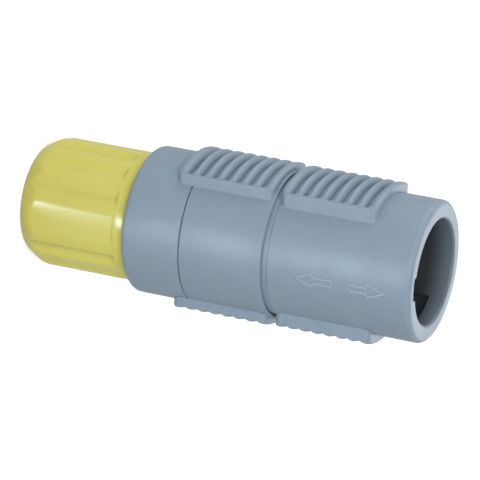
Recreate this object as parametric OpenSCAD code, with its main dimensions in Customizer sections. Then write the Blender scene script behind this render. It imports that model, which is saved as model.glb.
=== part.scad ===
// Push pull circular cable connector, standing on the flat end of its clamp nut: clamp nut,
// rear shell and grip ring below, ribbed release sleeve with the mating mouth on top.
// +Z points out of the mouth, +Y carries the keyway, the grip pads sit at +X and -X.
// The origin is the centre of the nut's end face; stations count down from the mouth.

/* [Release sleeve] */
// Length of sleeve in front of the grip ring
sleeve_len = 18.65; // [17:0.05:22]
// How far the sleeve lies below the ring
sleeve_step = 0.4; // [0.2:0.05:0.7]
// Wall round the hood
hood_wall = 2.2; // [2:0.05:2.4]
// Rounding of the outer mouth edge
mouth_round = 0.9; // [0.4:0.1:1.2]
// Rounding of the inner mouth edge
mouth_inner_round = 0.3; // [0.1:0.05:0.5]
// Width of the keyway
key_w = 3.0; // [2:0.1:4]
// Depth of the keyway and the latch pockets
key_depth = 0.8; // [0.6:0.05:1]
// Length of plain bore in front of the latch pockets
pocket_start = 2.0; // [1.5:0.1:3]
// Length of the latch pockets
pocket_len = 4.5; // [3.5:0.1:5]
// Half angle of each latch pocket
pocket_half = 42; // [36:1:50]
// Way that the sleeve slides back
travel = 0.65; // [0.4:0.05:1]

/* [Grip ring and rear shell] */
// Outer radius of ring and rear shell
body_r = 9.0; // [8.9:0.05:9.6]
// Length of the grip ring
ring_len = 10.43; // [9:0.05:13]
// Visible length of the rear shell
shell_len = 7.77; // [6:0.05:10]
// Length of the neck inside the ring
neck_len = 4.1; // [3:0.1:5]
// Wall of the ring over the neck
ring_wall = 1.0; // [0.8:0.05:1.2]
// Rounding of the rear edge of the shell
shell_round = 0.8; // [0.4:0.1:1]

/* [Grip pads] */
// Half width of a pad
pad_half_w = 5.5; // [4.5:0.1:6]
// Length of the pads on the ring
ring_pad_len = 12.25; // [11.5:0.05:13]
// Length of the pads on the sleeve
sleeve_pad_len = 12.1; // [11:0.05:13]
// How far the pads on the ring stand proud of it
pad_rise = 0.9; // [0.7:0.05:1.3]
// How far the pads on the sleeve lie below the ring pads
pad_step = 0.1; // [0:0.05:0.3]
// Ribs on each pad
ribs = 8; // [5:1:9]
// Depth of the grooves between the ribs
groove_depth = 0.5; // [0.3:0.05:0.6]
// Plain border beside the grooves
pad_border = 0.6; // [0.4:0.1:1]
// Pitch of the ribs on the ring
ring_pitch = 1.56; // [1.4:0.02:1.6]
// Pitch of the ribs on the sleeve
sleeve_pitch = 1.55; // [1.4:0.02:1.6]

/* [Insert] */
// Station of the contact face of the insulator
face_at = 6.0; // [5:0.1:8]
// Gap between the hood and the contact carrier
post_gap = 1.9; // [1.8:0.05:2.2]
// Contacts on the outer ring, round one in the middle
ring_contacts = 7; // [5:1:7]
// Radius of the ring of contacts, as a share of the carrier
contact_ring_share = 0.6445; // [0.62:0.005:0.68]
// Outer radius of a contact
contact_r = 0.72; // [0.6:0.02:0.8]
// Bore of a contact
socket_r = 0.4; // [0.3:0.05:0.45]

/* [Cable clamp] */
// How far the nut lies below the ring
nut_step = 1.1; // [0.7:0.05:1.3]
// Length of the nut
nut_len = 14.5; // [13:0.1:17]
// Plain collar in front of the flutes
collar_len = 1.45; // [1:0.05:2]
// Arc of each spanner flat
flat_arc = 32; // [24:1:34]
// Direction of the first flat from +Y towards +Z
flat_at = 87; // [60:1:120]
// Flutes between the two flats, on each side
flutes = 6; // [4:1:6]
// Depth of a flute
flute_depth = 0.3; // [0.2:0.05:0.4]
// Radius of the cable bore in the nut
cable_bore_r = 3.4; // [3:0.1:3.8]
// Bore of the closed collet
collet_bore_r = 2.9; // [2.6:0.1:3]
// Pitch of the nut's thread
thread_pitch = 1.0; // [0.75:0.25:1.25]
// Slots of the collet
collet_slots = 6; // [4:1:8]

/* [Clearances] */
// Radial clearance of sliding and turning fits
slide_clear = 0.08; // [0.05:0.01:0.1]
// Radial clearance of parts that are seated end to end
seat_clear = 0.03; // [0.02:0.01:0.05]
// Gap between end faces that meet at the end of a movement
stop_gap = 0.1; // [0.05:0.01:0.15]

/* [Hidden] */
grey_blue = [0.53, 0.60, 0.66];
dark_plastic = [0.13, 0.14, 0.16];
clamp_yellow = [0.81, 0.80, 0.40];
steel = [0.72, 0.73, 0.75];
gold = [0.85, 0.69, 0.36];
rubber = [0.10, 0.10, 0.11];

eps = 0.01;
past = 1;                                  // how far a cutter runs past the wall
seam_round = 0.15;                         // soft edges at the seams
pad_corner = 0.8;                          // corners of a pad seen from above
pad_end_round = 0.3;                       // crest rounding at the ends of a pad
groove_steps = 8;                          // straight stretches in one rib and groove

// Radii, from the ring inwards
sleeve_r = body_r - sleeve_step;
hood_r = sleeve_r - hood_wall;
key_r = hood_r + key_depth;
ring_pad_r = body_r + pad_rise;
sleeve_pad_r = ring_pad_r - pad_step;
post_r = hood_r - post_gap;
contact_ring_r = post_r * contact_ring_share;
nut_r = body_r - nut_step;

// Sleeve and the ring round its tail
tail_step = 0.1;
tail_wall = 1.0;
tail_r = sleeve_r - tail_step;
tail_from = sleeve_len - travel - slide_clear;
sleeve_pad_end = sleeve_len - travel - stop_gap;
pad_set_back = 0.3;
ring_pad_at = sleeve_len + pad_set_back;
relief = 0.3;
land_r = hood_r - relief;                   // keeps the latch fingers down behind the pockets
lip_r = tail_r + slide_clear;
cavity_r = tail_r - tail_wall;
neck_r = body_r - ring_wall;
ring_end = sleeve_len + ring_len;
shell_end = ring_end + shell_len;
neck_at = ring_end - neck_len;
tail_end = neck_at - travel - stop_gap;
clip_w = 1.1;
clip_end = tail_end - clip_w;
clip_at = clip_end - clip_w;
clip_bite = 0.35;
pocket_end = pocket_start + pocket_len;
land_at = pocket_end + stop_gap / 2;
relief_at = pocket_start - stop_gap;         // the hood is a little wider behind its full round

// Plug shell
flange_len = 3.5;
spring_len = 4.7;
latch_len = 3.3;
latch_set_back = 1.6;
spigot_step = 0.7;
spigot_wall = 0.45;
spigot_len = 0.4;
lip_len = 0.7;
tube_wall = 1.0;
tube_tail = 1.9;
insert_wall = 0.7;
tube_r = land_r - stop_gap;
flange_r = cavity_r - slide_clear;
flange_end = clip_at - stop_gap / 2;
flange_at = flange_end - flange_len;
cavity_at = flange_at - spring_len;
latch_end = flange_at - latch_set_back;
latch_at = latch_end - latch_len;
spigot_r = tube_r - spigot_step;
spigot_at = latch_at - spigot_len;
spigot_bore_r = spigot_r - spigot_wall;
insert_at = latch_end + stop_gap;
insert_r = tube_r - tube_wall;
carrier_r = insert_r - insert_wall - seat_clear;
tube_end = ring_end + tube_tail;
seal_len = 1.2;
seal_depth = 0.7;
seal_at = neck_at + clip_w;
guide_w = 2.0;                             // guide rib that keeps the arrows over the keyway
guide_depth = 0.75;

// Latch fingers
finger_half = 26;
finger_at = pocket_end + stop_gap;
finger_wall = 0.5;
hook_len = 1.0;
hook_depth = 0.45;

// Return spring
wire_r = 0.35;
spring_r = (tube_r + cavity_r) / 2;
spring_turns = 3.5;
wire_sides = 8;
rings_per_turn = 20;

// Cable end of the rear shell
web_len = 1.0;
cup_at = tube_end + web_len;
cup_r = 4.2;
cup_len = 3.4;
cone_at = cup_at + cup_len;
cone_len = 2.6;
cone_end = cone_at + cone_len;
nut_wall = 1.3;
thread_wall = 1.0;
thread_len = 5.6;
thread_r = nut_r - nut_wall;
seat_r = thread_r - thread_wall;
thread_end = shell_end + thread_len;

// Collet, washer and nut
cone_gap = 0.25;
washer_gap = 0.75;
collet_r = seat_r - stop_gap;
collet_nose_r = cup_r - stop_gap;
collet_nose = cone_at + cone_gap;
collet_cone_end = cone_end + cone_gap;
washer_at = thread_end + washer_gap;
washer_len = 0.6;
slot_w = 0.8;
nut_at = shell_end + stop_gap / 2;
nut_end = nut_at + nut_len;
nut_bore_r = thread_r + slide_clear;
nut_seat = washer_at + washer_len + stop_gap / 2;
nut_round_len = 2.25;
nut_round_depth = 1.6;
flute_side = (360 / 2 - flat_arc) / (flutes + 0.3);
flute_w = 1.5;

contact_sink = 0.5;
contact_front = 8.5;
contact_len = 20;
contact_bore = 5;
contact_cup = 4;
contact_collar = 0.2;
contact_collar_len = 1.2;
contact_face = face_at + contact_sink;
contact_step = contact_face + contact_front;
contact_end = contact_face + contact_len;
carrier_len = 5.5;                         // carrier behind its flange, between the insert halves
total_len = nut_end;

contact_count = ring_contacts + 1;
CONTACTS = [for (i = [1 : contact_count]) str("contact_", i)];

// Points of a quarter round or ellipse: centre station and radius, half axes, start and end angle
function bend(at, r, a, b, from, to, steps) =
    [for (i = [0 : steps])
        let (t = from + (to - from) * i / steps)
        [at + a * cos(t), r + b * sin(t)]];

// Turned form on the connector's axis; outline points are [station, radius]
module turned(outline, from = 0, sweep = 360) {
    rotate([0, 0, from])
        rotate_extrude(angle = sweep, $fn = 96)
            polygon([for (p = outline) [p[1], total_len - p[0]]]);
}

// Plain ring between two stations
module ring(from, to, inner, outer, start = 0, sweep = 360) {
    turned([[from, inner], [from, outer], [to, outer], [to, inner]], start, sweep);
}

// Round bar or cutter along the axis, at a polar place
module bar(from, to, r, place_r = 0, place_a = 0) {
    translate([place_r * cos(place_a), place_r * sin(place_a), total_len - to])
        cylinder(h = to - from, r = r, $fn = 32);
}

// Square bar or cutter on the +Y side, between two stations and two distances from the axis
module key_bar(from, to, width, low, high) {
    translate([-width / 2, low, total_len - to])
        cube([width, high - low, to - from]);
}

// Ribbed crest of a grip pad, from first to last station
function rib_points(crest, first, pitch) =
    [for (i = [0 : (ribs - 1) * groove_steps])
        let (turn = 360 * i / groove_steps)
        [first + pitch * i / groove_steps, crest - groove_depth * (1 - cos(turn)) / 2]];

function pad_outline(from, to, base, crest, profile) =
    concat(
        [[from, base]],
        bend(from + pad_end_round, crest - pad_end_round, pad_end_round, pad_end_round, 180, 90, 3),
        profile,
        bend(to - pad_end_round, crest - pad_end_round, pad_end_round, pad_end_round, 90, 0, 3),
        [[to, base]]
    );

// Shape of a pad seen from the side, with round corners
module pad_plan(from, to) {
    across = pad_half_w - pad_corner;
    along = (to - from) / 2 - pad_corner;
    translate([0, 0, total_len - (from + to) / 2])
        rotate([90, 0, 90])
            linear_extrude(height = 2 * (ring_pad_r + past), center = true)
                polygon([for (q = [0 : 3], i = [0 : 4])
                    let (t = 90 * q + 22.5 * i)
                    [
                        (q == 0 || q == 3 ? across : -across) + pad_corner * cos(t),
                        (q < 2 ? along : -along) + pad_corner * sin(t)
                    ]]);
}

// Two opposite pads with ribs across the pulling direction, between plain borders
module pads(from, to, base, crest, pitch) {
    first = (from + to - pitch * (ribs - 1)) / 2;
    reach = 42;
    ribbed_w = 2 * (pad_half_w - pad_border);
    intersection() {
        pad_plan(from, to);
        for (side = [0, 180]) {
            turned(pad_outline(from, to, base, crest - groove_depth, []), side - reach, 2 * reach);
            intersection() {
                turned(
                    pad_outline(from, to, base, crest, rib_points(crest, first, pitch)),
                    side - reach, 2 * reach
                );
                cube([4 * crest, ribbed_w, 4 * total_len], center = true);
            }
            difference() {
                turned(pad_outline(from, to, base, crest, []), side - reach, 2 * reach);
                cube([4 * crest, ribbed_w, 4 * total_len], center = true);
            }
        }
    }
}

module release_sleeve() {
    color(grey_blue)
    difference() {
        union() {
            turned(concat(
                [[cavity_at, land_r], [land_at, land_r],
                    [land_at, hood_r + relief], [relief_at, hood_r + relief], [relief_at, hood_r]],
                bend(mouth_inner_round, hood_r + mouth_inner_round,
                    mouth_inner_round, mouth_inner_round, 270, 180, 3),
                bend(mouth_round, sleeve_r - mouth_round, mouth_round, mouth_round, 180, 90, 6),
                [
                    [tail_from, sleeve_r], [tail_from + 0.1, tail_r],
                    [tail_end - seam_round, tail_r], [tail_end, tail_r - seam_round],
                    [tail_end, cavity_r], [clip_end, cavity_r],
                    [clip_end, cavity_r + clip_bite], [clip_at, cavity_r + clip_bite],
                    [clip_at, cavity_r], [cavity_at, cavity_r]
                ]
            ));
            pads(sleeve_pad_end - sleeve_pad_len, sleeve_pad_end, sleeve_r - 0.4, sleeve_pad_r,
                sleeve_pitch);
            for (turn = [0, 180])
                rotate([0, 0, turn])
                    key_bar(flange_at, clip_at, guide_w - 2 * slide_clear,
                        cavity_r - guide_depth + stop_gap, cavity_r + 0.25);
        }
        key_bar(-past, pocket_end, key_w, 0, key_r);
        for (side = [0, 180])
            ring(pocket_start, pocket_end, hood_r - past, key_r, side - pocket_half, 2 * pocket_half);
    }
}

module retaining_clip() {
    opening = 40;
    color(steel)
    ring(clip_at, clip_end, tube_r + 0.15, cavity_r + clip_bite, 90 + opening / 2, 360 - opening);
}

// One ring of wire section, on a helix along the axis
function wire_ring(i, turns, from, length) =
    let (n = turns * rings_per_turn, a = 360 * turns * i / n, at = from + length * i / n)
    [for (k = [0 : wire_sides - 1])
        let (t = 360 * k / wire_sides, r = spring_r + wire_r * cos(t))
        [r * cos(a), r * sin(a), total_len - at - wire_r * sin(t)]];

module return_spring() {
    n = spring_turns * rings_per_turn;
    from = cavity_at + wire_r;
    length = spring_len - 2 * wire_r;
    points = [for (i = [0 : n]) each wire_ring(i, spring_turns, from, length)];
    sides = [
        for (i = [0 : n - 1], k = [0 : wire_sides - 1])
            let (a = i * wire_sides, b = (k + 1) % wire_sides)
            [a + k, a + b, a + wire_sides + b, a + wire_sides + k]
    ];
    caps = [
        [for (k = [wire_sides - 1 : -1 : 0]) k],
        [for (k = [0 : wire_sides - 1]) n * wire_sides + k]
    ];
    color(steel)
    polyhedron(points, concat(sides, caps), convexity = 8);
}

module grip_ring() {
    color(grey_blue)
    difference() {
        union() {
            turned([
                [sleeve_len, lip_r + seam_round], [sleeve_len, body_r - seam_round],
                [sleeve_len + seam_round, body_r], [ring_end - seam_round, body_r],
                [ring_end, body_r - seam_round], [ring_end, neck_r],
                [neck_at, neck_r], [neck_at, lip_r], [sleeve_len + seam_round, lip_r]
            ]);
            pads(ring_pad_at, ring_pad_at + ring_pad_len, body_r - 0.4, ring_pad_r, ring_pitch);
        }
        ring(ring_end, ring_pad_at + ring_pad_len + past, neck_r, body_r + seat_clear);
    }
}

module rear_shell() {
    color(grey_blue)
    difference() {
        turned(concat(
            [
                [neck_at, tube_r], [neck_at, neck_r - seam_round], [neck_at + seam_round, neck_r],
                [ring_end, neck_r], [ring_end, body_r - seam_round], [ring_end + seam_round, body_r]
            ],
            bend(shell_end - shell_round, body_r - shell_round, shell_round, shell_round, 90, 0, 5),
            [
                [shell_end, thread_r], [thread_end - 0.4, thread_r], [thread_end, thread_r - 0.4],
                [thread_end, seat_r], [cone_end, seat_r], [cone_at, cup_r], [cup_at, cup_r],
                [cup_at, post_r - 0.9], [tube_end, post_r - 0.9], [tube_end, tube_r]
            ]
        ));
        ring(seal_at, seal_at + seal_len, tube_r - past, tube_r + seal_depth);
    }
}

module plug_shell() {
    color(dark_plastic)
    difference() {
        turned([
            [spigot_at, post_r + 0.05], [spigot_at, spigot_r], [latch_end, spigot_r],
            [latch_end, tube_r], [flange_at, tube_r], [flange_at, flange_r - seam_round],
            [flange_at + seam_round, flange_r], [flange_end - seam_round, flange_r],
            [flange_end, flange_r - seam_round], [flange_end, tube_r], [tube_end, tube_r],
            [tube_end, insert_r], [insert_at, insert_r], [insert_at, spigot_bore_r],
            [spigot_at + lip_len, spigot_bore_r], [spigot_at + lip_len, post_r + 0.05]
        ]);
        for (turn = [0, 180])
            rotate([0, 0, turn])
                key_bar(flange_at - past, flange_end + past, guide_w, cavity_r - guide_depth, flange_r + past);
    }
}

module shell_seal() {
    color(rubber)
    ring(seal_at, seal_at + seal_len, tube_r, tube_r + seal_depth - seat_clear);
}

module latch_ring() {
    finger_r = spigot_r + 0.08;
    outer = tube_r - 0.05;
    color(steel)
    union() {
        ring(latch_at, latch_end, spigot_r, outer);
        for (side = [0, 180]) {
            ring(finger_at, latch_at + eps, finger_r, outer, side - finger_half, 2 * finger_half);
            turned([
                [finger_at, finger_r - hook_depth + 0.25], [finger_at, outer - 0.1],
                [finger_at + hook_len, outer - 0.1], [finger_at + hook_len, finger_r - hook_depth],
                [finger_at + 0.3, finger_r - hook_depth]
            ], side - finger_half, 2 * finger_half);
        }
    }
}

// Axis of one contact: the last one stands in the middle
module at_contact(i) {
    r = i < contact_count ? contact_ring_r : 0;
    a = 90 + 360 * (i - 0.5) / ring_contacts;
    translate([r * cos(a), r * sin(a), 0])
        children();
}

module insulator() {
    color(dark_plastic)
    difference() {
        turned([
            [face_at, 0], [face_at, post_r - 0.2], [face_at + 0.2, post_r],
            [spigot_at + lip_len, post_r], [spigot_at + lip_len, spigot_bore_r - seat_clear],
            [insert_at, spigot_bore_r - seat_clear], [insert_at, carrier_r],
            [insert_at + carrier_len, carrier_r], [insert_at + carrier_len, 0]
        ]);
        for (i = [1 : contact_count])
            at_contact(i) {
                bar(face_at - past, contact_face + eps, socket_r + 0.1);
                bar(contact_face, contact_step + eps, contact_r + seat_clear);
                bar(contact_step, insert_at + carrier_len + past, contact_r + contact_collar + seat_clear);
            }
    }
}

module contact(i) {
    color(gold)
    at_contact(i)
    difference() {
        union() {
            bar(contact_face, contact_end, contact_r);
            bar(contact_step, contact_step + contact_collar_len, contact_r + contact_collar);
        }
        bar(contact_face - past, contact_face + contact_bore, socket_r);
        bar(contact_end - contact_cup, contact_end + past, socket_r + 0.1);
    }
}

module face_seal() {
    color(rubber)
    ring(spigot_at - 1, spigot_at, post_r, spigot_r - 0.1);
}

module insert_half(side) {
    color(dark_plastic)
    ring(insert_at, tube_end, insert_r - insert_wall, insert_r - seat_clear, side + 0.3, 179.4);
}

module insert_half_left() {
    insert_half(-90);
}

module insert_half_right() {
    insert_half(90);
}

module cable_seal() {
    color(rubber)
    ring(cup_at, cone_at - 0.4, collet_bore_r + 0.05, cup_r - seat_clear);
}

module clamp_collet() {
    color(dark_plastic)
    difference() {
        turned([
            [collet_nose, collet_bore_r], [collet_nose, collet_nose_r], [collet_cone_end, collet_r],
            [washer_at, collet_r], [washer_at, collet_bore_r]
        ]);
        for (i = [0 : collet_slots - 1])
            rotate([0, 0, 360 * i / collet_slots])
                key_bar(collet_nose - past, collet_cone_end + 2.2, slot_w, 0, collet_r + past);
    }
}

module thrust_washer() {
    color(steel)
    ring(washer_at, washer_at + washer_len, collet_bore_r + 0.3, collet_r);
}

// Cutters for the grip of the nut: one flat, and round-bottomed flutes beside it
module nut_grip(turn) {
    flat_depth = nut_r * cos(flat_arc / 2);
    flute_r = 0.9;
    flute_centre = nut_r - flute_depth + flute_r;
    rotate([0, 0, turn]) {
        translate([flat_depth, -nut_r, -past])
            cube([nut_r, 2 * nut_r, nut_len - collar_len + past]);
        for (i = [0 : flutes - 1])
            bar(nut_at + collar_len, nut_end + past, flute_r, flute_centre,
                flat_arc / 2 + flute_side * (i + 0.65));
    }
}

module collet_nut() {
    color(clamp_yellow)
    difference() {
        turned(concat(
            [
                [nut_at, nut_bore_r + 0.3], [nut_at, nut_r - 0.25], [nut_at + 0.25, nut_r]
            ],
            bend(nut_end - nut_round_len, nut_r - nut_round_depth,
                nut_round_len, nut_round_depth, 90, 0, 8),
            [
                [nut_end, cable_bore_r + 0.9], [nut_end - 1.2, cable_bore_r],
                [nut_seat + 1.6, cable_bore_r], [nut_seat, cable_bore_r + 1.1],
                [nut_seat, nut_bore_r], [nut_at + 0.3, nut_bore_r]
            ]
        ));
        nut_grip(flat_at);
        nut_grip(flat_at + 180);
    }
}

release_sleeve();
retaining_clip();
return_spring();
grip_ring();
rear_shell();
plug_shell();
shell_seal();
latch_ring();
insulator();
face_seal();
insert_half_left();
insert_half_right();
cable_seal();
clamp_collet();
thrust_washer();
collet_nut();
for (i = [1 : contact_count])
    contact(i);
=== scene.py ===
# Push pull circular connector: a plastic cable plug with a ribbed release sleeve and a clamp nut.
from math import cos, hypot, pi, radians, sin, sqrt

import bmesh
import bpy
from mathutils import Matrix, Vector


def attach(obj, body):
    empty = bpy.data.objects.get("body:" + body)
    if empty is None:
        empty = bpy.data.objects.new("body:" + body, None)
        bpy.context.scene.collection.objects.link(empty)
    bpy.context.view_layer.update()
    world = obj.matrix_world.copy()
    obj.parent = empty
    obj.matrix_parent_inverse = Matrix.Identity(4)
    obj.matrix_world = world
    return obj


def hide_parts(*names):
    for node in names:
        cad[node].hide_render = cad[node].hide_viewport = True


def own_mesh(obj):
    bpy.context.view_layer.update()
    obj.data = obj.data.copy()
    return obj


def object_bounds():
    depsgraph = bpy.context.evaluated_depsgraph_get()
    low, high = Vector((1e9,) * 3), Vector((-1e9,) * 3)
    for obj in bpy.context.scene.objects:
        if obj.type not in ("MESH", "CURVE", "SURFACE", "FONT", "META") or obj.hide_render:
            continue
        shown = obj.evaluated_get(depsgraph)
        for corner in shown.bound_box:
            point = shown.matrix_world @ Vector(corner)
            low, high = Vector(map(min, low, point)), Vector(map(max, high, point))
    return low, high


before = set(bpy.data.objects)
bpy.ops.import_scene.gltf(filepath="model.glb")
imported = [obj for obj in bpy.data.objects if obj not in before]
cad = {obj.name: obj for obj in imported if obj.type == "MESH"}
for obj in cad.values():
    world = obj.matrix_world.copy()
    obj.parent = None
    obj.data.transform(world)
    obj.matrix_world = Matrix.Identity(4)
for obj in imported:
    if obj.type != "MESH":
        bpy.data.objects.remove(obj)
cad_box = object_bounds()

scene = bpy.context.scene
mm = 0.001


# Camera: looks down on the standing plug from in front of its keyway, turned on its side so
# that the cable end is at the left. A long lens from arm's length, as small parts are shown.
azimuth, elevation, roll = radians(158.366), radians(21.034), radians(100.845)
aim = Vector((-0.64, 0.0, 26.38)) * mm
eye_distance = 418.6 * mm

towards_eye = Vector((
    sin(azimuth) * cos(elevation),
    -cos(azimuth) * cos(elevation),
    sin(elevation),
))
level_right = Vector((cos(azimuth), sin(azimuth), 0.0))
level_up = towards_eye.cross(level_right)
camera_right = level_right * cos(roll) + level_up * sin(roll)
camera_up = towards_eye.cross(camera_right)

lens = bpy.data.cameras.new("product_camera")
lens.lens = 260.9
lens.sensor_width = 36.0
lens.clip_start = 0.01
lens.clip_end = 10.0
camera = bpy.data.objects.new("product_camera", lens)
camera.matrix_world = Matrix.Translation(aim + towards_eye * eye_distance) @ Matrix(
    (camera_right, camera_up, towards_eye)
).transposed().to_4x4()
scene.collection.objects.link(camera)
scene.camera = camera


# Every finish is a node tree, so this section brings what writes one: Value wraps a socket and
# turns arithmetic into Math nodes, and Finish starts a material and adds any other node.
class Value:
    def __init__(self, finish, socket):
        self.finish, self.socket = finish, socket

    def maths(self, operation, *others):
        inputs = dict(enumerate((self, *others)))
        return self.finish.add("ShaderNodeMath", {"operation": operation}, inputs)

    def __add__(self, other):
        return self.maths("ADD", other)

    def __mul__(self, other):
        return self.maths("MULTIPLY", other)

    def __sub__(self, other):
        return self.maths("SUBTRACT", other)

    def __rsub__(self, other):
        return (self * -1.0) + other

    def __truediv__(self, other):
        return self.maths("DIVIDE", other)

    __radd__ = __add__
    __rmul__ = __mul__

    def between(self, low, high):
        return self.finish.add(
            "ShaderNodeMapRange",
            {"interpolation_type": "SMOOTHSTEP", "clamp": True},
            {"Value": self, "From Min": low, "From Max": high},
            "Result",
        )


class Finish:
    def __init__(self, name):
        self.material = bpy.data.materials.new(name)
        self.material.use_nodes = True
        self.tree = self.material.node_tree
        self.tree.nodes.clear()
        self.place = None

    def add(self, kind, settings=None, inputs=None, output=0):
        node = self.tree.nodes.new(kind)
        for key, value in (settings or {}).items():
            setattr(node, key, value)
        for key, value in (inputs or {}).items():
            if isinstance(value, Value):
                self.tree.links.new(value.socket, node.inputs[key])
            else:
                node.inputs[key].default_value = value
        return Value(self, node.outputs[output]) if node.outputs else None

    def point(self, stretch=(1.0, 1.0, 1.0)):
        if self.place is None:
            self.place = self.add("ShaderNodeTexCoord", output="Object")
        return self.add("ShaderNodeMapping", {}, {"Vector": self.place, "Scale": stretch})

    def noise(self, size, detail=3.0, stretch=(1.0, 1.0, 1.0)):
        return self.add(
            "ShaderNodeTexNoise",
            {"noise_dimensions": "3D"},
            {"Vector": self.point(stretch), "Scale": 1.0 / size, "Detail": detail, "Roughness": 0.55},
        )

    def blend(self, share, first, second):
        return self.add(
            "ShaderNodeMix",
            {"data_type": "RGBA"},
            {"Factor": share, 6: first, 7: second},
            2,
        )

    def bumped(self, height, depth, strength):
        return self.add(
            "ShaderNodeBump", {}, {"Height": height, "Distance": depth, "Strength": strength}
        )

    def surface(self, **inputs):
        names = {key.replace("_", " ").title().replace("Ior", "IOR"): v for key, v in inputs.items()}
        shader = self.add("ShaderNodeBsdfPrincipled", {}, names)
        self.add("ShaderNodeOutputMaterial", {}, {"Surface": shader})
        return self.material


def dress(piece, material):
    if not piece.material_slots:
        piece.data.materials.append(material)
    for place in piece.material_slots:
        place.material = material


# Floor and light: a pale table under the plug, a pale room, three soft boxes, and narrow strips
# that only reflections see, for the long highlights. The table looks white and keeps the shadow.
floor_size = 3.0
floor_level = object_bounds()[0][2]
table_tone, room_strength = 0.70, 0.45
table_lift, mirror_lift, far_lift = 0.56, 0.12, 0.5
far_from, far_to = 0.1, 0.6
table_mesh = bpy.data.meshes.new("table_top")
sides = ((-1, -1), (1, -1), (1, 1), (-1, 1))
corners = [(x * floor_size, y * floor_size, floor_level) for x, y in sides]
table_mesh.from_pydata(corners, [], [(0, 1, 2, 3)])
table_top = bpy.data.objects.new("table_top", table_mesh)
scene.collection.objects.link(table_top)

table = Finish("pale_table")
rays = table.add("ShaderNodeLightPath")
camera_ray, glossy_ray, glass_ray = (
    Value(table, rays.socket.node.outputs[ray])
    for ray in ("Is Camera Ray", "Is Glossy Ray", "Is Transmission Ray")
)
matt = table.add("ShaderNodeBsdfDiffuse", {}, {"Color": (table_tone, table_tone, table_tone, 1.0)})
from_middle = table.add("ShaderNodeVectorMath", {"operation": "LENGTH"}, {0: table.point()}, "Value")
far_off = from_middle.between(far_from, far_to)
white = camera_ray * (far_off * far_lift + table_lift) + glossy_ray * mirror_lift + glass_ray * table_lift
glow = table.add("ShaderNodeEmission", {}, {"Color": (1.0, 1.0, 1.0, 1.0), "Strength": white})
both = table.add("ShaderNodeAddShader", {}, {0: matt, 1: glow})
table.add("ShaderNodeOutputMaterial", {}, {"Surface": both})
dress(table_top, table.material)

room = bpy.data.worlds.new("pale_room")
room.use_nodes = True
air = room.node_tree
air.nodes.clear()
room_path = air.nodes.new("ShaderNodeLightPath")
room_light = air.nodes.new("ShaderNodeBackground")
room_light.inputs["Color"].default_value = (0.96, 0.98, 1.0, 1.0)
room_light.inputs["Strength"].default_value = room_strength
room_seen = air.nodes.new("ShaderNodeBackground")
room_seen.inputs["Color"].default_value = (1.0, 1.0, 1.0, 1.0)
room_seen.inputs["Strength"].default_value = 1.0
room_mix = air.nodes.new("ShaderNodeMixShader")
room_out = air.nodes.new("ShaderNodeOutputWorld")
shown = room_path.outputs["Is Camera Ray"]
for ray in ("Is Glossy Ray", "Is Transmission Ray"):
    either = air.nodes.new("ShaderNodeMath")
    either.operation = "MAXIMUM"
    air.links.new(shown, either.inputs[0])
    air.links.new(room_path.outputs[ray], either.inputs[1])
    shown = either.outputs[0]
air.links.new(shown, room_mix.inputs[0])
air.links.new(room_light.outputs[0], room_mix.inputs[1])
air.links.new(room_seen.outputs[0], room_mix.inputs[2])
air.links.new(room_mix.outputs[0], room_out.inputs["Surface"])
scene.world = room
scene.view_settings.view_transform = "Standard"
lamp_distance = 0.60


def soft_box(name, direction, width, height, power, colour=(1.0, 1.0, 1.0)):
    lamp = bpy.data.lights.new(name, "AREA")
    lamp.shape = "RECTANGLE"
    lamp.size, lamp.size_y = width, height
    lamp.energy = power
    lamp.color = colour
    stand = bpy.data.objects.new(name, lamp)
    away = Vector(direction).normalized()
    aimed = away.to_track_quat("Z", "Y").to_matrix().to_4x4()
    stand.matrix_world = Matrix.Translation(away * lamp_distance) @ aimed
    scene.collection.objects.link(stand)
    return stand


soft_box("overhead_box", (0.20, 0.75, 0.65), 0.34, 0.34, 2.0)
soft_box("side_box", (0.85, -0.50, 0.20), 0.30, 0.30, 1.3)
soft_box("back_box", (-0.35, -0.85, 0.40), 0.30, 0.30, 0.7)
strip_colour, strip_height = (0.62, 0.80, 1.0), 1.0


def floor_strip(name, x, start, end, width, strength, slant=0.0):
    length = (end - start) / cos(radians(slant))
    power = strength * pi * width * length * mm * mm
    strip = soft_box(name, (0.0, 0.0, 1.0), width * mm, length * mm, power, strip_colour)
    middle = Vector((x, (start + end) / 2, strip_height)) * mm
    turn = Matrix.Rotation(radians(slant), 4, "Z")
    strip.matrix_world = Matrix.Translation(middle) @ turn @ Matrix.Rotation(pi, 4, "Y")
    for hidden in ("visible_camera", "visible_diffuse", "visible_shadow"):
        setattr(strip, hidden, False)


floor_strip("far_strip", 8.0, 82.0, 165.0, 27.0, 36.0)
floor_strip("near_strip", 6.0, 46.0, 82.0, 14.0, 15.0)
floor_strip("nut_strip", -2.7, 10.0, 42.0, 1.2, 15.0, 15.4)


# Release sleeve: a moulded grey-blue sleeve over the latch, with a crowned, ribbed grip pad on
# each side and the mating hood in front. It is one skin, a closed outline for each angle round the
# axis. A pad's grooves stop at a rim on one side and run out over its edge on the other.
mouth_level = cad_box[1][2] / mm
pad_half_width, pad_corner, pad_edge, pad_foot = 5.5, 0.8, 0.35, 0.8
rib_count, rib_depth, rib_reach = 8, 0.85, 4.75
groove_width, groove_end, groove_sink = 1.32, 1.3, 0.25
run_out_from, run_out_loss = 3.6, 0.6
round_arc, round_full, round_share = 0.985, 0.83, 0.85
crown_radius, crown_drop = 13.0, 0.2
sleeve_radius, sleeve_pad_radius = 8.6, 9.8
sleeve_pad = (5.8, 17.9, 1.55)
front_round = 0.7
hood_bore, key_radius, key_half_width = 6.4, 7.2, 1.5
tongue_radius, tongue_half_width, guide_radius = 6.85, 0.92, 7.5


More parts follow.
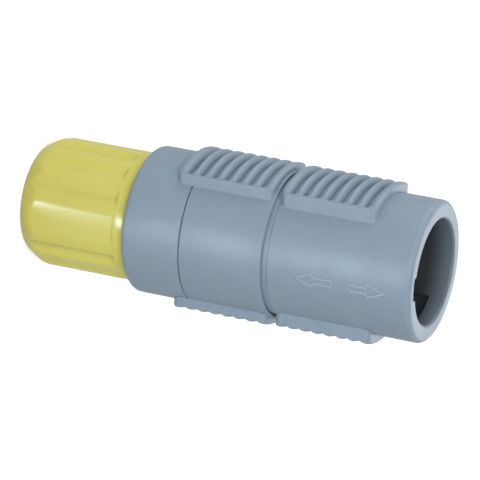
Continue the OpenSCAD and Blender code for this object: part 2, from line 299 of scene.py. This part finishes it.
def level(station):
    return mouth_level - station


def corner(station, radius, along, across, start, end, steps):
    turns = [radians(start + (end - start) * i / steps) for i in range(steps + 1)]
    return [(station + along * cos(t), radius + across * sin(t)) for t in turns]


def pad_half_at(inset):
    short = max(0.0, pad_corner - inset)
    return pad_half_width - pad_corner + sqrt(max(0.0, pad_corner ** 2 - short ** 2))


def pad_surface(station, angle, pad, crest, base, sink=groove_sink):
    start, end, pitch = pad
    inset = min(station - start, end - station)
    side = abs(sin(angle))
    if inset < -1e-6 or base * side > pad_half_width:
        return base
    behind = crown_radius - crest + crown_drop
    crest = sqrt(crown_radius ** 2 - (behind * side) ** 2) - behind * abs(cos(angle))
    first_rib = (start + end - pitch * (rib_count - 1)) / 2
    groove = (station - first_rib) / pitch
    nearest = min(max(round(groove - 0.5), 0), rib_count - 2) + 0.5
    runs_out = sin(2 * angle) < 0
    reach = pad_half_width if runs_out else rib_reach
    foot = min(1.0, max(0.0, pad_half_width - base * side) / pad_foot)
    radius = crest
    for _ in range(4):
        across = radius * side
        edge = min(pad_half_width - across, inset)
        if across > pad_half_width - pad_corner and inset < pad_corner:
            edge = pad_corner - hypot(across - pad_half_width + pad_corner, pad_corner - inset)
        edge = min(max(edge, 0.0), pad_edge)
        drop = pad_edge - sqrt(max(0.0, pad_edge ** 2 - (pad_edge - edge) ** 2))
        past_end = groove_end * max(0.0, across - reach)
        away = hypot((groove - nearest) * pitch, past_end) / (pitch / 2)
        slope = min(groove_width * (1.0 - min(away, 1.0)), 1.0)
        round_rib = (1.0 - sqrt(1.0 - (round_arc * slope) ** 2)) / round_full
        soft_rib = slope * slope * (3.0 - 2.0 * slope)
        valley = rib_depth * (round_share * round_rib + (1.0 - round_share) * soft_rib)
        if runs_out:
            past = max(0.0, across - run_out_from) / (pad_half_width - run_out_from)
            valley *= 1.0 - run_out_loss * past
        radius = crest - max(drop, valley)
    wall = pad_half_at(max(inset, 0.0)) / max(side, 1e-6)
    return max(base - sink * slope * foot, min(radius, wall))


def pad_rows(pad):
    start, end, pitch = pad
    first_rib = (start + end - pitch * (rib_count - 1)) / 2
    rows = {round(edge + way * step, 4) for edge, way in ((start, 1), (end, -1))
            for step in (0.0, 0.02, 0.07, 0.14, 0.24, 0.35, 0.5)}
    steps = (rib_count - 1) * 18
    rows |= {round(first_rib + pitch * i / 18, 4) for i in range(steps + 1)}
    return sorted(rows)


def skin(name, angles, outline):
    slices = [[(radius * cos(a) * mm, radius * sin(a) * mm, level(station) * mm)
               for station, radius in outline(a)] for a in angles]
    rows = len(slices[0])
    points = [point for part in slices for point in part]
    faces = []
    for i in range(len(slices)):
        here, there = i * rows, (i + 1) % len(slices) * rows
        for j in range(rows):
            k = (j + 1) % rows
            faces.append((here + j, here + k, there + k, there + j))
    mesh = bpy.data.meshes.new(name)
    mesh.from_pydata(points, [], faces)
    form = bmesh.new()
    form.from_mesh(mesh)
    bmesh.ops.remove_doubles(form, verts=form.verts, dist=1e-7)
    bmesh.ops.dissolve_degenerate(form, edges=form.edges, dist=1e-7)
    bmesh.ops.recalc_face_normals(form, faces=form.faces)
    form.to_mesh(mesh)
    form.free()
    mesh.shade_smooth()
    mesh.set_sharp_from_angle(angle=radians(38))
    piece = bpy.data.objects.new(name, mesh)
    scene.collection.objects.link(piece)
    return piece


def all_round(fine, coarse, zones):
    turns, angle = [], 0.0
    while angle < 360.0 - 1e-6:
        turns.append(radians(angle))
        close = any(low <= (angle - middle + 180.0) % 360.0 - 180.0 < high
                    for middle, low, high in zones)
        angle += fine if close else coarse
    return turns


pad_zones = [(middle, low, high) for middle in (0, 180) for low, high in ((-41, -23), (23, 41))]


def sleeve_outline(angle):
    x, y = cos(angle), sin(angle)
    points = corner(front_round, sleeve_radius - front_round, front_round, front_round, 180, 90, 9)
    points += [(d, sleeve_radius) for d in (2.2, 3.8)] + [(sleeve_pad[0], sleeve_radius)]
    points += [(d, pad_surface(d, angle, sleeve_pad, sleeve_pad_radius, sleeve_radius))
               for d in pad_rows(sleeve_pad)]
    points += [(sleeve_pad[1], sleeve_radius), (17.92, sleeve_radius)]
    points += [(18.02, 8.5), (24.08, 8.5), (24.23, 8.35), (24.23, guide_radius)]
    points += [(23.13, guide_radius), (23.13, 7.85), (22.03, 7.85), (22.03, guide_radius)]
    on_tongue = abs(x) * tongue_radius < tongue_half_width * abs(y)
    tongue = tongue_radius / max(abs(y), 0.1) if on_tongue else guide_radius
    points += [(22.03, tongue), (18.48, tongue), (18.48, guide_radius), (13.78, guide_radius)]
    points += [(13.78, 6.1), (6.55, 6.1), (6.55, hood_bore)]
    in_pocket = abs(y) < sin(radians(42))
    slot = y > 0 and abs(x) * hood_bore < key_half_width * abs(y)
    key_wall = key_half_width / max(abs(x), 1e-6)
    slot_radius = min(key_radius, max(hood_bore, key_wall)) if slot else hood_bore
    pocket = key_radius if in_pocket else slot_radius
    points += [(6.5, hood_bore), (6.5, pocket), (2.0, pocket), (2.0, slot_radius)]
    mouth_edge = corner(0.3, hood_bore + 0.3, 0.3, 0.3, 270, 180, 4)
    points += [(d, max(r, slot_radius)) for d, r in mouth_edge]
    return points


def with_steps(angles, edges):
    near = 0.02
    extra = [radians(edge + way) for edge in edges for way in (-near, near)]
    kept = [a for a in angles if all(abs(a - radians(edge)) > radians(0.1) for edge in edges)]
    return sorted(kept + extra)


key_edges = [90 - 13.19, 90 + 13.19]
tongue_edges = [90 - 7.65, 90 + 7.65, 270 - 7.65, 270 + 7.65]
pocket_edges = [42, 138, 222, 318]
sleeve_angles = with_steps(all_round(0.35, 2.0, pad_zones), key_edges + tongue_edges + pocket_edges)
sleeve = skin("sleeve_skin", sleeve_angles, sleeve_outline)
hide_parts("release_sleeve")
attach(sleeve, "sleeve")


def satin_plastic(name, colour, deeper, roughness):
    finish = Finish(name)
    clouds = finish.noise(7.0 * mm, 4.0, (0.5, 1.0, 1.0)).between(0.35, 0.65)
    grain = finish.noise(0.09 * mm, 2.0)
    body = finish.blend(clouds * 0.55 + grain * 0.25, (*colour, 1.0), (*deeper, 1.0))
    return finish.surface(
        base_color=body,
        roughness=clouds * 0.06 + grain * 0.08 + roughness,
        ior=1.46,
        normal=finish.bumped(grain, 0.006 * mm, 0.5),
    )


shell_finish = satin_plastic("grey_blue_shell", (0.245, 0.318, 0.395), (0.222, 0.292, 0.368), 0.42)
# Hood bore: painted shade. The bore's inner faces take a second finish that stands for the dim light
# inside the mouth. It is near black deep in the bore and fades to a darker grey-blue at the rim.
hood_shade = Finish("hood_painted_shade")
height = hood_shade.add("ShaderNodeSeparateXYZ", {}, {0: hood_shade.point()}, "Z")
depth = height.between(level(3.4) * mm, level(0.2) * mm)
hood_shade_grain = hood_shade.noise(0.09 * mm, 2.0)
hood_shade_finish = hood_shade.surface(
    base_color=hood_shade.blend(depth, (0.030, 0.035, 0.040, 1.0), (0.130, 0.165, 0.200, 1.0)),
    roughness=hood_shade_grain * 0.08 + 0.42,
    ior=1.46,
    normal=hood_shade.bumped(hood_shade_grain, 0.006 * mm, 0.5),
)
sleeve.data.materials.append(shell_finish)
sleeve.data.materials.append(hood_shade_finish)
# Faces inside the hood's bore get the painted shade finish.
for face in sleeve.data.polygons:
    middle = face.center / mm
    inward = face.normal.x * middle.x + face.normal.y * middle.y < 0.0
    face.material_index = int(middle.z > level(6.6) and hypot(middle.x, middle.y) < 7.25 and inward)


# Direction arrows: two outline arrows on the keyway side of the sleeve, in raised lines moulded
# with it, whose lighter tone is painted highlight. They are drawn flat and laid round the sleeve.
class Plan(Finish):
    def __init__(self, name, **sizes):
        self.tree = bpy.data.node_groups.new(name, "GeometryNodeTree")
        self.sockets = {}
        for label, value in {"Geometry": None, "Finish": None, **sizes}.items():
            kind = {"Geometry": "Geometry", "Finish": "Material"}.get(label, "Float")
            socket = self.tree.interface.new_socket(
                label, in_out="INPUT", socket_type="NodeSocket" + kind
            )
            self.sockets[label] = socket.identifier
            if value is not None:
                socket.default_value = value
        self.tree.interface.new_socket(
            "Geometry", in_out="OUTPUT", socket_type="NodeSocketGeometry"
        )
        self.entry = self.tree.nodes.new("NodeGroupInput")

    def size(self, label):
        return Value(self, self.entry.outputs[label])

    def ending(self, geometry):
        whole = self.add("GeometryNodeRealizeInstances", {}, {"Geometry": geometry})
        finish = {"Geometry": whole, "Material": self.size("Finish")}
        dressed = self.add("GeometryNodeSetMaterial", {}, finish)
        self.add("NodeGroupOutput", {}, {"Geometry": dressed})

    def make(self, name, material, start=None, **sizes):
        piece = bpy.data.objects.new(name, start or bpy.data.meshes.new(name))
        scene.collection.objects.link(piece)
        step = piece.modifiers.new(name, "NODES")
        step.node_group = self.tree
        for label, value in {"Finish": material, **sizes}.items():
            step[self.sockets[label]] = value
        made = piece.evaluated_get(bpy.context.evaluated_depsgraph_get())
        mesh = bpy.data.meshes.new_from_object(made)
        piece.modifiers.remove(step)
        piece.data = mesh
        return piece


laid_lines = Plan("laid_lines", Radius=0.01, Turn=0.0, Mouth=0.05, Width=0.0002, Height=0.0001)
path = laid_lines.add("GeometryNodeMeshToCurve", {}, {"Mesh": laid_lines.size("Geometry")})
even_steps = {"Curve": path, "Length": 0.12 * mm}
path = laid_lines.add("GeometryNodeResampleCurve", {"mode": "LENGTH"}, even_steps)
path = laid_lines.add("GeometryNodeSetCurveNormal", {"mode": "Z_UP"}, {"Curve": path})
bead = laid_lines.add(
    "GeometryNodeCurvePrimitiveQuadrilateral",
    {"mode": "RECTANGLE"},
    {"Width": laid_lines.size("Width"), "Height": laid_lines.size("Height")},
)
laid_bead = {"Curve": path, "Profile Curve": bead, "Fill Caps": True}
lines = laid_lines.add("GeometryNodeCurveToMesh", {}, laid_bead)
flat = laid_lines.add("ShaderNodeSeparateXYZ", {}, {0: laid_lines.add("GeometryNodeInputPosition")})
station, across, lift = (Value(laid_lines, output) for output in flat.socket.node.outputs)
turn = across / laid_lines.size("Radius") + laid_lines.size("Turn")
radius = lift + laid_lines.size("Radius")
place = laid_lines.add(
    "ShaderNodeCombineXYZ",
    {},
    {
        "X": turn.maths("COSINE") * radius,
        "Y": turn.maths("SINE") * radius,
        "Z": laid_lines.size("Mouth") - station,
    },
)
laid_lines.ending(laid_lines.add("GeometryNodeSetPosition", {}, {"Geometry": lines, "Position": place}))


def arrow(tip, barb, tail):
    half_head, half_shaft = 0.84, 0.375
    half = [(tip, 0.0), (barb, half_head), (barb, half_shaft), (tail, half_shaft)]
    return half + [(d, -across) for d, across in reversed(half[1:])]


outlines = [arrow(14.29, 12.25, 9.80), arrow(3.17, 5.35, 7.60)]
corners = [(d * mm, across * mm, 0.0) for outline in outlines for d, across in outline]
count = len(outlines[0])
edges = [(start + i, start + (i + 1) % count) for start in (0, count) for i in range(count)]
flat_arrows = bpy.data.meshes.new("flat_arrows")
flat_arrows.from_pydata(corners, edges, [])
# The lines are a lighter copy of the shell's grey-blue: painted highlight for the light their raised
# edges catch.
lit_line_finish = satin_plastic("raised_line_painted_highlight", (0.345, 0.425, 0.505), (0.325, 0.405, 0.485), 0.34)
arrows = laid_lines.make(
    "direction_arrows", lit_line_finish, flat_arrows,
    Radius=sleeve_radius * mm, Turn=radians(94.0), Mouth=mouth_level * mm,
    Width=0.2 * mm, Height=0.1 * mm,
)
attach(arrows, "sleeve")


# Grip ring: the same grey-blue plastic, glued round the front of the rear shell. Its two ribbed
# pads reach back over the shell, so that a thumb and a finger can push the plug home.
ring_front, ring_back, ring_radius, ring_pad_radius = 18.65, 29.08, 9.0, 9.9
ring_pad = (18.95, 31.2, 1.56)
ring_round, shell_gap = 0.15, 0.03


def ring_outline(angle):
    points = corner(ring_front + ring_round, ring_radius - ring_round, ring_round, ring_round, 180, 90, 4)
    points += [(ring_pad[0], ring_radius)]
    reach, over_shell = ring_back, ring_radius + shell_gap
    across = over_shell * abs(sin(angle))
    if across < pad_half_width:
        over = max(0.0, across - pad_half_width + pad_corner)
        reach = ring_pad[1] - pad_corner + sqrt(max(0.0, pad_corner ** 2 - over ** 2))
    for d in pad_rows(ring_pad):
        if d <= ring_back:
            radius = pad_surface(d, angle, ring_pad, ring_pad_radius, ring_radius)
        elif reach > ring_back:
            d = min(d, reach)
            radius = pad_surface(d, angle, ring_pad, ring_pad_radius, over_shell, 0.0)
        else:
            d, radius = ring_back, ring_radius
        points.append((d, radius))
    if reach > ring_back:
        points += [(reach, over_shell), (ring_back, over_shell)]
    else:
        points += [(ring_back, ring_radius)] * 2
    points += [(ring_back, 8.0), (24.98, 8.0), (24.98, 8.58)]
    points += [(ring_front + ring_round, 8.58), (ring_front, 8.73)]
    return points


pad_reach = 37.52
ring_edges = [pad_reach, 180 - pad_reach, 180 + pad_reach, 360 - pad_reach]
ring_angles = with_steps(all_round(0.35, 2.0, pad_zones), ring_edges)
grip = skin("grip_ring_skin", ring_angles, ring_outline)
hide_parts("grip_ring")
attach(grip, "body")
dress(grip, shell_finish)


# Rear shell: the moulded body behind the ring, round-shouldered, with the tapered seat for the
# clamp collet inside. Its left side is smooth and bare.
shell_start, shell_end, shell_radius, shell_shoulder = 29.08, 36.85, 9.0, 0.8
shell_profile = [(24.98, 6.0), (24.98, 7.85), (25.13, 8.0), (shell_start, 8.0)]
shell_profile += [(shell_start, 8.6), (shell_start + 0.16, 8.7)]
shell_profile += corner(shell_start + 0.34, shell_radius - 0.14, 0.14, 0.14, 180, 90, 4)
shell_profile += [(33.0, shell_radius)]
shell_profile += corner(shell_end - shell_shoulder, shell_radius - shell_shoulder,
                        shell_shoulder, shell_shoulder, 90, 0, 9)
shell_profile += [(36.85, 6.6), (42.05, 6.6), (42.45, 6.2), (42.45, 5.6), (36.18, 5.6), (35.38, 4.2)]
shell_profile += [(31.98, 4.2), (31.98, 3.6), (30.98, 3.6), (30.98, 6.0)]
shell_profile += [(27.28, 6.0), (27.28, 6.7), (26.08, 6.7), (26.08, 6.0)]
rear = skin("rear_shell_skin", all_round(2.0, 2.0, []), lambda angle: shell_profile)
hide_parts("rear_shell")
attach(rear, "body")
dress(rear, shell_finish)


# Clamp nut: a yellow moulded nut with two spanner flats and six flutes each side, a plain collar
# in front and a rounded end where the cable comes out. It screws onto the rear shell's thread.
nut_start, nut_end, nut_radius, nut_collar = 36.9, 51.4, 7.9, 1.45
flat_half, flat_turn, flat_edge = 16.0, 87.0, 0.16
flute_count, flute_half, flute_cut = 6, 1.15, 0.45
flute_margin, flute_fullness = 0.65, 0.65
cable_bore, thread_bore = 3.4, 6.68


def nut_cut(angle):
    turn = ((angle / radians(1) - flat_turn + 90) % 180) - 90
    radius = nut_radius
    flat = nut_radius * cos(radians(flat_half)) / max(cos(radians(turn)), 0.5)
    softness = max(0.0, flat_edge - abs(radius - flat)) / flat_edge
    radius = min(radius, flat) - flat_edge * softness ** 2 / 4
    between = (180 - 2 * flat_half) / (flute_count - 1 + 2 * flute_margin)
    past_flat = turn % 180
    for i in range(flute_count):
        off = radians(past_flat - flat_half - between * (i + flute_margin)) * nut_radius
        if abs(off) < flute_half:
            deep = ((1 + cos(pi * off / flute_half)) / 2) ** flute_fullness
            radius = min(radius, nut_radius - flute_cut * deep)
    return radius


def nut_outline(angle):
    cut = nut_cut(angle)
    points = [(nut_start, 6.98), (nut_start, 7.65), (nut_start + 0.07, 7.83)]
    points += [(nut_start + 0.25, nut_radius), (nut_start + nut_collar, nut_radius)]
    points += [(nut_start + nut_collar, cut)]
    points += [(d, cut) for d in (41.0, 44.0, 47.0, 48.4)]
    chamfer = [(48.95, 7.88), (49.3, 7.8), (49.62, 7.66), (50.1, 7.4), (50.6, 7.1), (51.0, 6.83)]
    chamfer += [(51.22, 6.64), (51.35, 6.44), (nut_end, 6.2)]
    points += [(d, min(r, cut)) for d, r in chamfer]
    points += [(nut_end, 4.3), (50.2, cable_bore), (45.55, cable_bore)]
    points += [(43.85, 4.5), (43.85, thread_bore), (37.2, thread_bore)]
    return points


nut_angles = all_round(0.75, 0.75, [])
nut_skin = skin("clamp_nut_skin", nut_angles, nut_outline)
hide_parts("collet_nut")
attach(nut_skin, "nut")
nut_finish = satin_plastic("yellow_nut", (0.67, 0.62, 0.135), (0.64, 0.59, 0.122), 0.13)
dress(nut_skin, nut_finish)


# Return spring: three and a half turns of drawn spring wire behind the latch, which pushes the
# sleeve forward again. The real one shortens as the sleeve slides back; this one keeps one length.
# The same plan winds the thread ridge.
def metal(name, bright, dull, roughness, stretch):
    finish = Finish(name)
    streaks = finish.noise(0.35 * mm, 3.0, stretch).between(0.3, 0.7)
    return finish.surface(
        base_color=finish.blend(streaks, (*bright, 1.0), (*dull, 1.0)),
        metallic=1.0,
        roughness=streaks * 0.10 + roughness,
        normal=finish.bumped(streaks, 0.002 * mm, 0.4),
    )


coil = Plan("coil", Turns=3.5, Radius=0.0067, Wire=0.00035, Length=0.004, Base=0.033)
wound = coil.add(
    "GeometryNodeCurveSpiral",
    {},
    {
        "Resolution": 48,
        "Rotations": coil.size("Turns"),
        "Start Radius": coil.size("Radius"),
        "End Radius": coil.size("Radius"),
        "Height": coil.size("Length"),
    },
)
wire_size = {"Resolution": 14, "Radius": coil.size("Wire")}
section = coil.add("GeometryNodeCurvePrimitiveCircle", {}, wire_size)
drawn_wire = {"Curve": wound, "Profile Curve": section, "Fill Caps": True}
rod = coil.add("GeometryNodeCurveToMesh", {}, drawn_wire)
foot = coil.add("ShaderNodeCombineXYZ", {}, {"Z": coil.size("Base")})
coil.ending(coil.add("GeometryNodeTransform", {}, {"Geometry": rod, "Translation": foot}))

wire_finish = metal("spring_wire", (0.60, 0.61, 0.62), (0.48, 0.49, 0.51), 0.24, (1.0, 1.0, 0.2))
spring = coil.make(
    "return_spring_wire", wire_finish,
    Turns=3.5, Radius=6.75 * mm, Wire=0.35 * mm, Length=4.0 * mm, Base=level(18.13) * mm,
)
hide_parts("return_spring")
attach(spring, "body")
level(18.48) * mm
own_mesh(spring)

thread = coil.make(
    "nut_thread", shell_finish,
    Turns=4.5, Radius=6.42 * mm, Wire=0.22 * mm, Length=4.5 * mm, Base=level(42.0) * mm,
)
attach(thread, "body")


# Steel parts: the spring clip that holds the sleeve, the latch ring with its fingers and the
# washer under the collet, all stamped from bright spring strip.
for name in ("retaining_clip", "latch_ring", "thrust_washer"):
    dress(cad[name], wire_finish)


# Inner mouldings: black glass-filled plastic, a little coarser than the shells outside. The
# contact carrier shows in the mouth, with its eight sockets.
dark_finish = satin_plastic("black_moulding", (0.020, 0.022, 0.026), (0.014, 0.016, 0.019), 0.42)
for name in ("plug_shell", "insulator", "insert_half_left", "insert_half_right", "clamp_collet"):
    dress(cad[name], dark_finish)


# Contacts: eight turned sockets, gold plated over copper alloy, with faint lathe lines.
gold_finish = metal("gold_plating", (0.86, 0.62, 0.25), (0.76, 0.52, 0.20), 0.20, (1.0, 1.0, 4.0))
for number in range(1, 9):
    dress(cad[f"contact_{number}"], gold_finish)


# Seals: soft black rubber with a matt, slightly dusty skin.
rubber = Finish("seal_rubber")
dust = rubber.noise(0.6 * mm, 4.0).between(0.4, 0.7)
pores = rubber.noise(0.05 * mm, 2.0)
rubber_finish = rubber.surface(
    base_color=rubber.blend(dust * 0.5, (0.012, 0.012, 0.013, 1.0), (0.028, 0.028, 0.029, 1.0)),
    roughness=dust * 0.10 + 0.62,
    normal=rubber.bumped(pores, 0.004 * mm, 0.4),
)
for name in ("shell_seal", "face_seal", "cable_seal"):
    dress(cad[name], rubber_finish)
